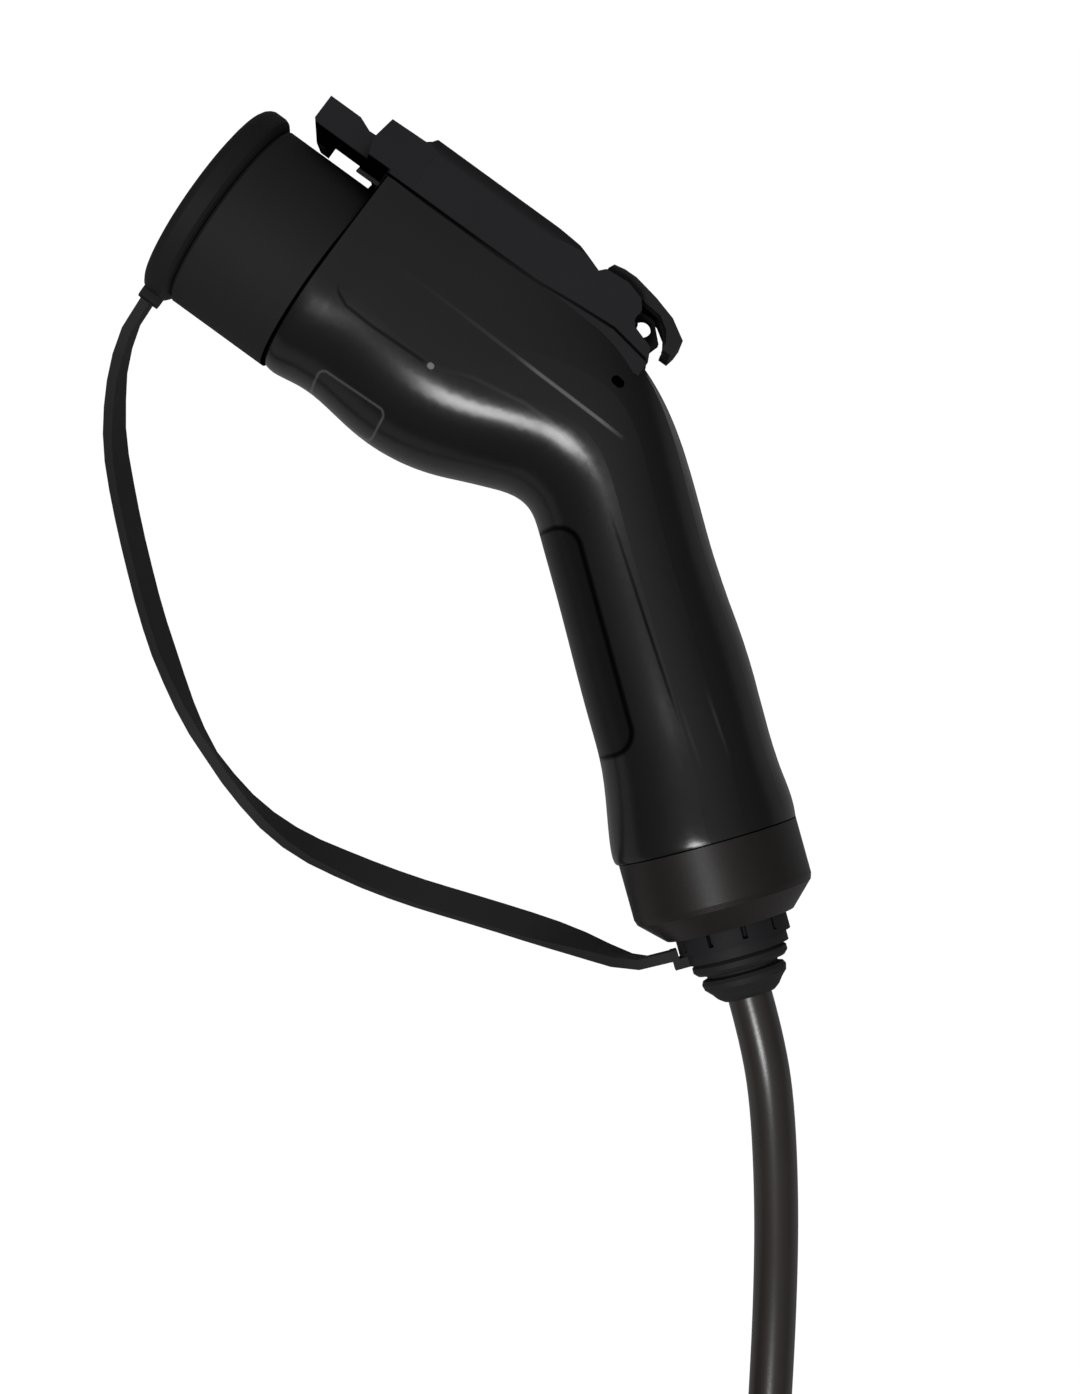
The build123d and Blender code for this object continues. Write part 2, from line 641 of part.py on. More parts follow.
def clamp_screws():
    screws = []
    for side in (-1, 1):
        x, y = sum(CLAMP) / 2, side * CLAMP_SCREW_OFF
        screws.append(cross_rod(SCREW_R, x, y, -8, 7.5) + cross_rod(SCREW_HEAD_R - 0.3, x, y, 7.4 + FIT, 9.2))
    return Compound([END_FRAME * s for s in screws])


def shell_screws():
    screws = []
    for x, y in SCREWS:
        shank = cross_rod(SCREW_R, x, y, -SEAT_DEPTH - 1, SCREW_LENGTH - SEAT_DEPTH)
        head = cross_rod(SCREW_HEAD_R, x, y, -SEAT_DEPTH - SCREW_HEAD_LENGTH, -SEAT_DEPTH)
        recess = Pos(x, y, -SEAT_DEPTH - SCREW_HEAD_LENGTH) * (Box(3.4, 0.8, 2.4) + Box(0.8, 3.4, 2.4))
        screws.append(shank + head - recess)
    return Compound(screws)


# --- wiring ---------------------------------------------------------------------------------------
def tube(points, radius, bends):
    """Round tube along straight runs joined by arcs of the given radii."""
    path = FilletPolyline(*points, radius=bends)
    profile = Plane(origin=path @ 0, z_dir=path % 0) * Circle(radius)
    return sweep(profile, path=path)


CORES = {                    # place of each core where the jacket ends: off the grip's axis, and across
    "line_contact": (1.3, 2.4, WIRE_R),
    "neutral_contact": (1.3, -2.4, WIRE_R),
    "earth_contact": (-2.5, 0.0, WIRE_R),
    "pilot_contact": (3.7, 0.0, SIGNAL_WIRE_R),
}
WIRE_BEND = 9.0


def inner_wires():
    """Cores from the crimps through the elbow to the jacket, and the proximity lead to its board."""
    rear = INSERT_END_X + CRIMP_LENGTH - 6
    wires = []
    for name, (off, across, radius) in CORES.items():
        y, z = CONTACTS[name][:2]
        points = [
            (rear, y, z), (rear + 9.0, y, z), (41.0, 0.75 * y, 0.8 * z), (62.0, 0.35 * y + 1.5, 0.5 * z),
            (*grip(24.0, off + END_SHIFT), across), (*grip(JACKET_END, off + END_SHIFT), across),
        ]
        wires.append(tube(points, radius, WIRE_BEND))
    y, z = CONTACTS["proximity_contact"][:2]
    board_y = SWITCH_BASE - BOARD_SIZE[1]
    points = [(rear, y, z), (rear + 11.0, y, z), (44.0, board_y - 9.0, -3.0), (44.0, board_y - 0.05, -3.0)]
    wires.append(tube(points, SIGNAL_WIRE_R, 4.0))
    return Compound(wires)


def jacket_end():
    return END_FRAME * rod(CABLE_D / 2, JACKET_END, BELLOWS_END)


# --- dust cap and strap ---------------------------------------------------------------------------
CAP_BACK = MOUTH_X - CAP_GAP
CAP_RIM_FRONT = CAP_BACK - CAP_RIM - 1.2
SKIRT_R = NOZZLE_R - NOZZLE_WALL - 0.2


def dust_cap():
    """Push-on cap: a domed face, a rounded rim over the mouth and a skirt inside the bore."""
    front = CAP_RIM_FRONT - CAP_DOME
    inner = front + CAP_FACE
    skirt_end = CAP_BACK + SKIRT_LENGTH
    skirt_inner = SKIRT_R - SKIRT_WALL
    rim, wide = CAP_RIM_FRONT, CAP_R
    cap = turned([
        (front, 0), (rim - 0.93 * CAP_DOME, 5.5), (rim - 0.72 * CAP_DOME, 11.0), (rim - 0.41 * CAP_DOME, 16.0),
        (rim, 21.0), (rim + 0.2, 21.9), (rim + 0.7, 22.7), (rim + 1.3, wide - 0.3), (rim + 2.0, wide),
        (CAP_BACK - 1.9, wide), (CAP_BACK - 1.1, wide - 0.3), (CAP_BACK - 0.4, wide - 1.1),
        (CAP_BACK, NOZZLE_R - 0.6), (CAP_BACK, SKIRT_R), (skirt_end - 0.6, SKIRT_R),
        (skirt_end, SKIRT_R - 0.6), (skirt_end, skirt_inner), (inner, skirt_inner), (inner, 0),
    ])
    lug = block((LUG_X - 1.9, LUG_X + 2.2), (LUG_TIP, -CAP_R + 3.2), (-LUG_WIDTH / 2, LUG_WIDTH / 2))
    lug = fillet(lug.edges().filter_by(Axis.X).group_by(Axis.Y)[0], 1.2)
    return cap + lug


STRAP_ROUTE = [
    (LUG_X, LUG_TIP, 0.0), (LUG_X, LUG_TIP - 5.0, 0.0), (-26.0, -39.6, -5.2), (-19.0, -53.0, -13.2),
    (-6.1, -66.2, -18.2), (13.0, -82.5, -19.9), (36.0, -97.0, -19.9), (60.8, -102.9, -20.2),
    (87.4, -97.1, -20.7), (110.9, -88.7, -19.6), (126.4, -83.2, -14.0), (136.4, -80.2, -6.0),
    (*grip(EYE_START - EYE_STEP + 1.2, END_SHIFT - EYE_TAB - 7.0), 0.0),
    (*grip(EYE_START - EYE_STEP + 1.2, END_SHIFT - EYE_TAB), 0.0),
]
# share of the strap's length, and how far its width leans there from upright, in degrees
STRAP_LEAN = [
    (0.0, 0.0), (0.05, 4.0), (0.18, 32.0), (0.36, 32.0), (0.47, 2.0), (0.53, 12.0), (0.6, 38.0), (0.68, 62.0),
    (0.84, 62.0), (0.93, 20.0), (0.97, 2.0), (1.0, 0.0),
]
STRAP_SECTIONS = 36


def route_bends(points, share=0.45):
    """Radius of the arc at each inner point, as large as its two runs allow."""
    places = [Vector(*p) for p in points]
    bends = []
    for before, here, after in zip(places, places[1:], places[2:]):
        run = min((here - before).length, (after - here).length)
        turn = radians((here - before).get_angle(after - here))
        bends.append(share * run / tan(turn / 2))
    return bends


def lean_at(share):
    for (s0, a0), (s1, a1) in zip(STRAP_LEAN, STRAP_LEAN[1:]):
        if share <= s1:
            return radians(a0 + (a1 - a0) * (share - s0) / (s1 - s0))
    return 0.0


def cap_strap():
    """Flat strap, twisted as it lies, from the cap's lug down to the table and up to the eye's tab."""
    bends = route_bends(STRAP_ROUTE)
    print("strap bends", [round(b, 1) for b in bends])
    path = FilletPolyline(*STRAP_ROUTE, radius=bends)
    sections = []
    for n in range(STRAP_SECTIONS + 1):
        share = n / STRAP_SECTIONS
        along = path % share
        side = along.cross(Vector(0, 0, 1)).normalized()
        width = side.cross(along) * cos(lean_at(share)) + side * sin(lean_at(share))
        plane = Plane(origin=path @ share, x_dir=width, z_dir=along)
        sections.append(plane * Rectangle(STRAP_WIDTH, STRAP_THICKNESS))
    strap = loft(sections, ruled=True)
    box = STRAP_WIDTH * STRAP_THICKNESS
    print("strap length", round(path.length, 1), "volume", round(strap.volume), round(path.length * box))
    return strap


# --- cable outside the plug -----------------------------------------------------------------------
CABLE_FLOOR = FLOOR + CABLE_D / 2
COIL_BASE = FLOOR + TIE_THICKNESS + RUNNING
ROW_RISE = CABLE_D * sqrt(3) / 2
COIL_ENTRY_ANGLE = 36.0
COIL_ENTRY_R = COIL_MEAN_D / 2 + (COIL_ROWS[0] - 1) * CABLE_D / 2
COIL_ENTRY = Vector(*COIL_CENTRE) + Vector(COIL_ENTRY_R, 0).rotate(Axis.Z, COIL_ENTRY_ANGLE)
CABLE_ROUTE = [
    (*grip(BELLOWS_END, END_SHIFT), 0.0), (*grip(121.0, END_SHIFT), 0.0), (181.0, -85.2, -2.0),
    (195.5, -102.8, -8.0), (209.0, -121.3, -14.2), (223.0, -142.3, -18.0), (237.0, -164.5, CABLE_FLOOR),
    (249.0, -182.7, CABLE_FLOOR), (COIL_ENTRY.X, COIL_ENTRY.Y, COIL_BASE + CABLE_D / 2),
]


def cable_run():
    bends = route_bends(CABLE_ROUTE)
    print("cable bends", [round(b, 1) for b in bends])
    path = FilletPolyline(*CABLE_ROUTE, radius=bends)
    profile = Plane(origin=path @ 0, z_dir=path % 0) * Circle(CABLE_D / 2)
    run = sweep(profile, path=path)
    disc = pi * CABLE_D ** 2 / 4
    print("cable length", round(path.length, 1), "volume", round(run.volume), round(path.length * disc))
    return run


def coil_section(grow=0.0):
    """Half section of the coil, on the plane XZ: straight sides, with a narrower row on top."""
    top = COIL_BASE + CABLE_D + (len(COIL_ROWS) - 1) * ROW_RISE
    low, high = COIL_ROWS[0] * CABLE_D / 2, COIL_ROWS[-1] * CABLE_D / 2
    middle = COIL_MEAN_D / 2
    outline = [
        (middle - low, COIL_BASE), (middle + low, COIL_BASE), (middle + low, top - ROW_RISE),
        (middle + high, top - 2), (middle + high - 2, top), (middle - high + 2, top), (middle - high, top - 2),
        (middle - low, top - ROW_RISE),
    ]
    face = make_face(Polyline(*outline, close=True))
    return Plane.XZ * (offset(face, amount=grow) if grow else face)


TAIL_TURN = 150.0            # the cable's end leaves the coil at this angle
TAIL = 44.0
TAIL_R = COIL_MEAN_D / 2 + (COIL_ROWS[-1] - 1) * CABLE_D / 2
TAIL_Z = COIL_BASE + CABLE_D / 2 + (len(COIL_ROWS) - 1) * ROW_RISE - 0.5
TAIL_FRAME = Pos(*COIL_CENTRE, TAIL_Z) * Rot(0, 0, TAIL_TURN) * Pos(0, TAIL_R, 0)
CORE_DEPTH = 6.0             # length of each core that shows in the jacket's end as a hole


def cable_coil():
    """The wound cable as one body, with its free end on a tangent of the top row."""
    coil = Pos(*COIL_CENTRE, 0) * revolve(coil_section(), Axis.Z)
    coil += TAIL_FRAME * rod(CABLE_D / 2, 0, TAIL)
    for off, across, radius in CORES.values():
        coil -= TAIL_FRAME * rod(radius + RUNNING, TAIL - CORE_DEPTH, TAIL + 1, off, across)
    return coil


def cable_ties():
    """Two bands round the coil's section."""
    arc = 360 * TIE_WIDTH / (pi * COIL_MEAN_D)
    band = coil_section(TIE_THICKNESS + RUNNING) - coil_section(RUNNING)
    ring = revolve(band, Axis.Z, arc)
    return Compound([Pos(*COIL_CENTRE, 0) * Rot(0, 0, turn) * ring for turn in (100, 280)])


CORE_TAIL = 20.0
FERRULE = 9.0


def core_tails():
    """Stripped cores at the cable's far end, each with a crimped ferrule."""
    tails, ferrules = [], []
    for n, (off, across, radius) in enumerate(CORES.values()):
        end = TAIL + CORE_TAIL + 2 * n
        tails.append(TAIL_FRAME * rod(radius, TAIL - CORE_DEPTH + 0.5, end, off, across))
        ferrules.append(TAIL_FRAME * rod(radius - 0.4, end, end + FERRULE, off, across))
    return Compound(tails), Compound(ferrules)


# --- nodes ----------------------------------------------------------------------------------------
def build_nodes():
    shell = body_shell()
    pad = grip_pad_form()
    shell -= pad
    upper = block((-100, 300), (-200, 200), (0, 100))
    lower = block((-100, 300), (-200, 200), (-100, 0))
    tails, ferrules = core_tails()
    nodes = {
        "body_shell_left": shell & upper,
        "body_shell_right": shell & lower,
        "grip_pad": pad,
        "nozzle": nozzle(),
        "insert_gasket": insert_gasket(),
        "contact_insert": contact_insert(),
        "contact_towers": contact_towers(),
        "latch_cover": latch_cover(),
        "latch_lever": latch_lever(),
        "pivot_pin": pivot_pin(),
        "latch_spring": latch_spring(),
        "proximity_switch": proximity_switch(),
        "switch_plunger": switch_plunger(),
        "switch_board": switch_board(),
        "end_collar": end_collar(),
        "gland_body": gland_body(),
        "gland_seal": gland_seal(),
        "castle_nut": castle_nut(),
        "strap_eye": strap_eye(),
        "cable_bellows": cable_bellows(),
        "cable_clamp": cable_clamp(),
        "clamp_screws": clamp_screws(),
        "shell_screws": shell_screws(),
        "inner_wires": inner_wires(),
        "jacket_end": jacket_end(),
        "dust_cap": dust_cap(),
        "cap_strap": cap_strap(),
        "cable_run": cable_run(),
        "cable_coil": cable_coil(),
        "cable_ties": cable_ties(),
        "core_tails": tails,
        "core_ferrules": ferrules,
    }
    for name in CONTACTS:
        nodes[name] = contact(name)
    return nodes


os.makedirs("parts", exist_ok=True)
for node, shape in build_nodes().items():
    export_step(shape, f"parts/{node}.step")
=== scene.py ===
"""Dresses the charging plug's solids, and adds its cable, cap strap, latch spring, floor, lamp and camera."""
from math import cos, pi, radians, sin, sqrt

import bmesh
import bpy
from mathutils import Matrix, Vector


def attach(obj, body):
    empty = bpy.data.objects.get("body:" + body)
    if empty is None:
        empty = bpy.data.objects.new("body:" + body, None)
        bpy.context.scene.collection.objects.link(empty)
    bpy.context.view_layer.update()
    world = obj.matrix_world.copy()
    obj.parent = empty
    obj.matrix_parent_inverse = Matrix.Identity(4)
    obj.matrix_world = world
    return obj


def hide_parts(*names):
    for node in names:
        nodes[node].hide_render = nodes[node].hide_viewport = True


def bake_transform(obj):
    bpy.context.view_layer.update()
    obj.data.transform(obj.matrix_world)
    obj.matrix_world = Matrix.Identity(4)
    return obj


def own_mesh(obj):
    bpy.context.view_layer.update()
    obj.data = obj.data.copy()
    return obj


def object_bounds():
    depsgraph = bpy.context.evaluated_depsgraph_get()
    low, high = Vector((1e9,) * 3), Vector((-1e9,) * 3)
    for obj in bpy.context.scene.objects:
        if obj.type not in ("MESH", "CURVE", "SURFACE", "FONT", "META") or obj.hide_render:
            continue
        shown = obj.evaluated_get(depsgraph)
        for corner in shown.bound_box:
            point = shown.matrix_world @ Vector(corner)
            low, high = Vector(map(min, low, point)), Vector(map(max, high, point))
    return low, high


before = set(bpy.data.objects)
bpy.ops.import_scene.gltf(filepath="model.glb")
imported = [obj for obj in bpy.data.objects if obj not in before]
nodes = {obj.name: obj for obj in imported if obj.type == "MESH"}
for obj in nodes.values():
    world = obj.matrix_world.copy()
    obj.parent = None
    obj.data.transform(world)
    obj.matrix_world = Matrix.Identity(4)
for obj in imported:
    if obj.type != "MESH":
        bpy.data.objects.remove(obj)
cad_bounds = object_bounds()
MM = 0.001


# --- helpers ---------------------------------------------------------------------------------------
def linear(code):
    """sRGB hex to linear RGBA."""
    channels = [int(code[i:i + 2], 16) / 255 for i in (1, 3, 5)]
    return tuple(c / 12.92 if c <= 0.04045 else ((c + 0.055) / 1.055) ** 2.4 for c in channels) + (1.0,)


def add_node(tree, kind, settings=None, **links):
    """A node with its properties set, and its inputs given as values or as other nodes' outputs.

    An input is given by its name, or as in0, in1 and so on where names repeat.
    """
    node = tree.nodes.new(kind)
    for name, value in (settings or {}).items():
        setattr(node, name, value)
    for name, value in links.items():
        numbered = name.startswith("in") and name[2:].isdigit()
        socket = node.inputs[int(name[2:])] if numbered else node.inputs[name]
        if isinstance(value, bpy.types.NodeSocket):
            tree.links.new(value, socket)
        else:
            socket.default_value = value
    return node


def new_material(name):
    material = bpy.data.materials.new(name)
    material.use_nodes = True
    material.node_tree.nodes.clear()
    return material, material.node_tree


def finish_material(tree, shader):
    add_node(tree, "ShaderNodeOutputMaterial", Surface=shader.outputs[0])


def dress(piece, material):
    piece.data.materials.clear()
    piece.data.materials.append(material)


def link_object(name, data):
    piece = bpy.data.objects.new(name, data)
    bpy.context.scene.collection.objects.link(piece)
    return piece


# --- fine lines on the mouldings, in millimetres of the side view -------------------------------------
def local_mm(tree, place, origin, angle):
    """Millimetres along and across a side view's axes that start at origin and are turned by angle."""
    turned = add_node(tree, "ShaderNodeMapping", {"vector_type": "TEXTURE"}, Vector=place)
    turned.inputs["Location"].default_value = (origin[0] * MM, origin[1] * MM, 0.0)
    turned.inputs["Rotation"].default_value = (0.0, 0.0, radians(angle))
    turned.inputs["Scale"].default_value = (MM, MM, MM)
    return turned.outputs["Vector"]


def band(tree, distance, half_width, soft, level=1.0):
    """Level within half_width of a line, falling to 0 over soft."""
    size = add_node(tree, "ShaderNodeMath", {"operation": "ABSOLUTE"}, in0=distance).outputs[0]
    fall = add_node(tree, "ShaderNodeMapRange", {"interpolation_type": "SMOOTHSTEP"}, Value=size)
    fall.inputs["From Min"].default_value = half_width + soft
    fall.inputs["From Max"].default_value = half_width
    fall.inputs["To Max"].default_value = level
    return fall.outputs["Result"]


def outline_mark(tree, place, centre, half, corner, angle, half_width, soft, level=1.0):
    """Line round a rounded rectangle, given by its centre, half sizes and corner radius."""
    flat = add_node(tree, "ShaderNodeVectorMath", {"operation": "MULTIPLY"},
                    in0=local_mm(tree, place, centre, angle), in1=(1.0, 1.0, 0.0))
    size = add_node(tree, "ShaderNodeVectorMath", {"operation": "ABSOLUTE"}, in0=flat.outputs[0])
    past = add_node(tree, "ShaderNodeVectorMath", {"operation": "SUBTRACT"}, in0=size.outputs[0],
                    in1=(half[0] - corner, half[1] - corner, 0.0))
    out = add_node(tree, "ShaderNodeVectorMath", {"operation": "MAXIMUM"}, in0=past.outputs[0],
                   in1=(0.0, 0.0, 0.0))
    reach = add_node(tree, "ShaderNodeVectorMath", {"operation": "LENGTH"}, in0=out.outputs[0])
    edge = add_node(tree, "ShaderNodeMath", {"operation": "SUBTRACT"}, in0=reach.outputs["Value"], in1=corner)
    return band(tree, edge.outputs[0], half_width, soft, level)


def line_mark(tree, place, origin, angle, stops, half_width, soft):
    """Line along the turned axis, through stops of (along, across, level)."""
    axes = add_node(tree, "ShaderNodeSeparateXYZ", Vector=local_mm(tree, place, origin, angle))
    start, end = stops[0][0], stops[-1][0]
    low = min(across for _, across, _ in stops) - 1.0
    high = max(across for _, across, _ in stops) + 1.0
    share = add_node(tree, "ShaderNodeMapRange", Value=axes.outputs["X"])
    share.inputs["From Min"].default_value = start
    share.inputs["From Max"].default_value = end
    ramp = add_node(tree, "ShaderNodeValToRGB", Fac=share.outputs["Result"])
    points = ramp.color_ramp.elements
    while len(points) < len(stops):
        points.new(0.5)
    for point, (along, across, level) in zip(points, stops):
        point.position = (along - start) / (end - start)
        point.color = ((across - low) / (high - low), level, 0.0, 1.0)
    read = add_node(tree, "ShaderNodeSeparateColor", Color=ramp.outputs["Color"])
    height = add_node(tree, "ShaderNodeMath", {"operation": "MULTIPLY_ADD"},
                      in0=read.outputs["Red"], in1=high - low, in2=low)
    off = add_node(tree, "ShaderNodeMath", {"operation": "SUBTRACT"},
                   in0=axes.outputs["Y"], in1=height.outputs[0])
    near = band(tree, off.outputs[0], half_width, soft)
    faded = add_node(tree, "ShaderNodeMath", {"operation": "MULTIPLY"}, in0=near, in1=read.outputs["Green"])
    return faded.outputs[0]


def strongest(tree, marks):
    """The highest of several marks' levels."""
    top = marks[0]
    for mark in marks[1:]:
        top = add_node(tree, "ShaderNodeMath", {"operation": "MAXIMUM"}, in0=top, in1=mark).outputs[0]
    return top


NOSE = (0.0, 0.0)                   # origin on the nozzle's axis, in the plane of its shoulder
GRIP_START = (76.5, 0.0)            # origin of the grip's axis
GRIP_TURN = -38.5
COLLAR_LINE = 77.0                  # the end collar's seam, along the grip
PAD_CENTRE = (88.21, -32.19)
PAD_HALF = (24.8, 8.1)
LABEL_CENTRE = (20.5, -18.7)
LABEL_HALF = (8.3, 3.4)
# slot by the thumb plate, drawn only as a dark spot of painted shade
PRY_SLOT = (64.2, 18.4)
# painted highlight: a small bright dot at the end of the nose crease
GLINT_DOT = (31.0, -2.1)
COVER_SEAM = [
    (-6.0, 25.3, 1.0), (20.0, 25.3, 0.9), (38.0, 25.4, 0.5), (46.5, 26.3, 0.7), (57.0, 27.1, 0.9),
    (66.0, 25.7, 0.9), (67.0, 25.3, 0.0),
]
# painted shade in the corner under the latch cover
LATCH_CORNER = [(-8.0, 24.6, 1.0), (-0.6, 24.6, 1.0), (0.2, 24.6, 0.0)]
# painted shade along the grip's centre crease
GRIP_CREASE_SHADE = [(3.0, -2.2, 0.0), (10.0, -1.9, 0.5), (30.0, -1.0, 0.75), (44.0, -0.3, 0.6), (52.0, 0.2, 0.0)]
# painted shade along the side panel's lower edge near the nose
NOSE_CREASE_SHADE = [
    (5.2, 0.4, 0.0), (6.6, -1.0, 0.5), (9.4, -2.3, 0.6), (16.4, -2.6, 0.6), (28.9, -2.2, 0.5),
    (30.4, -2.1, 0.0),
]
# painted highlight along the body panel's upper crease, brighter towards the rear
PANEL_EDGE_GLINT = [
    (14.0, 10.7, 0.0), (30.0, 10.5, 0.05), (44.0, 10.1, 0.15), (50.0, 9.9, 0.6), (66.0, 9.6, 0.7),
    (72.5, 9.4, 0.0),
]
# painted highlight, faint, along the body panel's lower edge
LOWER_EDGE_GLINT = [(31.0, -2.0, 0.0), (39.5, 1.1, 0.05), (51.0, 3.1, 0.1), (59.5, 3.2, 0.15), (66.7, 2.5, 0.0)]
# faint lighter streaks along the grip
GRIP_STREAKS = [
    [(45.0, 7.3, 0.0), (52.0, 7.7, 0.1), (62.0, 8.4, 0.0)],
    [(44.0, 1.0, 0.0), (54.0, 1.5, 0.06), (63.0, 2.1, 0.0)],
]


def cover_seam(tree, place):
    """Parting line between the latch cover and the body."""
    return line_mark(tree, place, NOSE, 0, COVER_SEAM, 0.18, 0.3)


def shoulder_seam(tree, place):
    """Parting line between the nozzle and the body."""
    return line_mark(tree, place, NOSE, 90, [(-22.0, 0.0, 1.0), (26.0, 0.0, 1.0)], 0.2, 0.25)


def collar_seam(tree, place):
    """Parting line between the body and the end collar."""
    stops = [(-20.0, -COLLAR_LINE, 1.0), (20.0, -COLLAR_LINE, 1.0)]
    return line_mark(tree, place, GRIP_START, GRIP_TURN + 90, stops, 0.15, 0.2)


def pad_joint(tree, place):
    """Joint round the soft pad."""
    return outline_mark(tree, place, PAD_CENTRE, PAD_HALF, 5.0, GRIP_TURN, 0.15, 0.8, 0.85)


def under_cover(tree, place):
    """Shade in the corner between the nozzle, the latch arm and the cover."""
    return line_mark(tree, place, NOSE, 0, LATCH_CORNER, 1.6, 0.4)


# dark parting lines and joints, and painted shade under the cover, along creases and in a slot
def body_joints_and_shade(tree, place):
    return [
        pad_joint(tree, place),
        under_cover(tree, place),
        cover_seam(tree, place),
        shoulder_seam(tree, place),
        # painted shade along the grip's centre crease
        line_mark(tree, place, GRIP_START, GRIP_TURN, GRIP_CREASE_SHADE, 0.12, 0.4),
        # painted shade along the side panel's lower edge near the nose
        line_mark(tree, place, NOSE, 0, NOSE_CREASE_SHADE, 0.12, 0.5),
        collar_seam(tree, place),
        # painted shade: the slot by the thumb plate, drawn as a dark spot
        outline_mark(tree, place, PRY_SLOT, (0.9, 0.4), 0.4, -6.0, 0.5, 0.2),
    ]


def body_highlights_and_streaks(tree, place):
    """Painted highlights where light catches the moulded panels' edges and the label's recess, a painted
    bright dot, and faint lighter streaks on the grip.
    """
    return [
        line_mark(tree, place, NOSE, 0, PANEL_EDGE_GLINT, 0.16, 0.4),
        line_mark(tree, place, NOSE, 0, LOWER_EDGE_GLINT, 0.12, 0.6),
        line_mark(tree, place, GRIP_START, GRIP_TURN, GRIP_STREAKS[0], 0.1, 0.4),
        line_mark(tree, place, GRIP_START, GRIP_TURN, GRIP_STREAKS[1], 0.1, 0.4),
        # painted highlight round the label's recess
        outline_mark(tree, place, LABEL_CENTRE, LABEL_HALF, 1.6, 1.5, 0.12, 0.25, 0.3),
        outline_mark(tree, place, GLINT_DOT, (0.3, 0.2), 0.2, 0.0, 0.3, 0.3, 1.0),
    ]


# --- materials ---------------------------------------------------------------------------------------
CLOUD_MM = 14                       # size of the faint clouds in a moulding's colour
GRAIN_HEIGHT = 0.15 * MM
# lighter colour of the painted highlights and of the grip's faint streaks
HIGHLIGHT_AND_STREAK_COLOUR = "#8c8c8e"
# dark colour of the joints and parting lines, and of the painted shade
JOINT_AND_SHADE_COLOUR = "#010101"


def moulded_plastic(name, dark, light, roughness, grain_mm, relief, spread=0.05, specular=0.5, joint_and_shade_marks=None,
                    edges=None):
    """Moulded plastic: faint cloudy colour, the tool's grain, dark joints with painted shade, and painted
    highlights with faint lighter streaks.

    The real grain is finer than 0.1 mm. It is drawn as coarse as it needs to show.
    """
    material, tree = new_material(name)
    place = add_node(tree, "ShaderNodeTexCoord").outputs["Object"]
    cloud = add_node(tree, "ShaderNodeTexNoise", Vector=place, Scale=1 / (CLOUD_MM * MM), Detail=3.0)
    grain = add_node(tree, "ShaderNodeTexNoise", Vector=place, Scale=1 / (grain_mm * MM), Detail=4.0)
    grain.inputs["Roughness"].default_value = 0.6
    colour = add_node(tree, "ShaderNodeMix", {"data_type": "RGBA"}, Factor=cloud.outputs["Fac"])
    colour.inputs["A"].default_value = linear(dark)
    colour.inputs["B"].default_value = linear(light)
    gloss = add_node(tree, "ShaderNodeMapRange", Value=grain.outputs["Fac"])
    gloss.inputs["To Min"].default_value = roughness - spread
    gloss.inputs["To Max"].default_value = roughness + spread
    base, shine = colour.outputs["Result"], None
    # painted highlights and faint lighter streaks, mixed into the colour
    if edges:
        catch = strongest(tree, edges(tree, place))
        lit = add_node(tree, "ShaderNodeMix", {"data_type": "RGBA"}, Factor=catch)
        tree.links.new(base, lit.inputs["A"])
        lit.inputs["B"].default_value = linear(HIGHLIGHT_AND_STREAK_COLOUR)
        base = lit.outputs["Result"]
    # dark joints and painted shade, mixed into the colour, with less shine there
    if joint_and_shade_marks:
        joint_and_shade_level = strongest(tree, joint_and_shade_marks(tree, place))
        shadow = add_node(tree, "ShaderNodeMix", {"data_type": "RGBA"}, Factor=joint_and_shade_level)
        tree.links.new(base, shadow.inputs["A"])
        shadow.inputs["B"].default_value = linear(JOINT_AND_SHADE_COLOUR)
        base = shadow.outputs["Result"]
        shine = add_node(tree, "ShaderNodeMapRange", Value=joint_and_shade_level)
        shine.inputs["To Min"].default_value = specular
        shine.inputs["To Max"].default_value = 0.0
    bump = add_node(tree, "ShaderNodeBump", Height=grain.outputs["Fac"], Strength=relief,
                    Distance=GRAIN_HEIGHT)
    shader = add_node(tree, "ShaderNodeBsdfPrincipled", Roughness=gloss.outputs["Result"],
                      Normal=bump.outputs["Normal"])
    tree.links.new(base, shader.inputs["Base Color"])
    shader.inputs["Specular IOR Level"].default_value = specular
    if shine:
        tree.links.new(shine.outputs["Result"], shader.inputs["Specular IOR Level"])
    finish_material(tree, shader)
    return material


def metal(name, colour, roughness, mark_mm):
    """Drawn or plated metal, whose shine varies in small marks."""
    material, tree = new_material(name)
    place = add_node(tree, "ShaderNodeTexCoord").outputs["Object"]
    marks = add_node(tree, "ShaderNodeTexNoise", Vector=place, Scale=1 / (mark_mm * MM), Detail=5.0)
    gloss = add_node(tree, "ShaderNodeMapRange", Value=marks.outputs["Fac"])
    gloss.inputs["To Min"].default_value = roughness - 0.08
    gloss.inputs["To Max"].default_value = roughness + 0.1
    shader = add_node(tree, "ShaderNodeBsdfPrincipled", Metallic=1.0, Roughness=gloss.outputs["Result"])
    shader.inputs["Base Color"].default_value = linear(colour)
    finish_material(tree, shader)
    return material


# Polycarbonate from a polished tool: smooth and black, with soft-edged reflections.
polished_pc = moulded_plastic("polished black polycarbonate", "#19191b", "#1d1d1f", roughness=0.22,
                              grain_mm=0.9, relief=0.01, spread=0.03, specular=0.45, joint_and_shade_marks=body_joints_and_shade,
                              edges=body_highlights_and_streaks)
# Glass filled nylon from a fine grained tool: an even dark grey with no reflections.
nozzle_pa = moulded_plastic(
    "fine grained black nylon", "#28282a", "#2b2b2d", roughness=0.7, grain_mm=0.4, relief=0.1, specular=0.2,
    joint_and_shade_marks=lambda tree, place: [shoulder_seam(tree, place)])
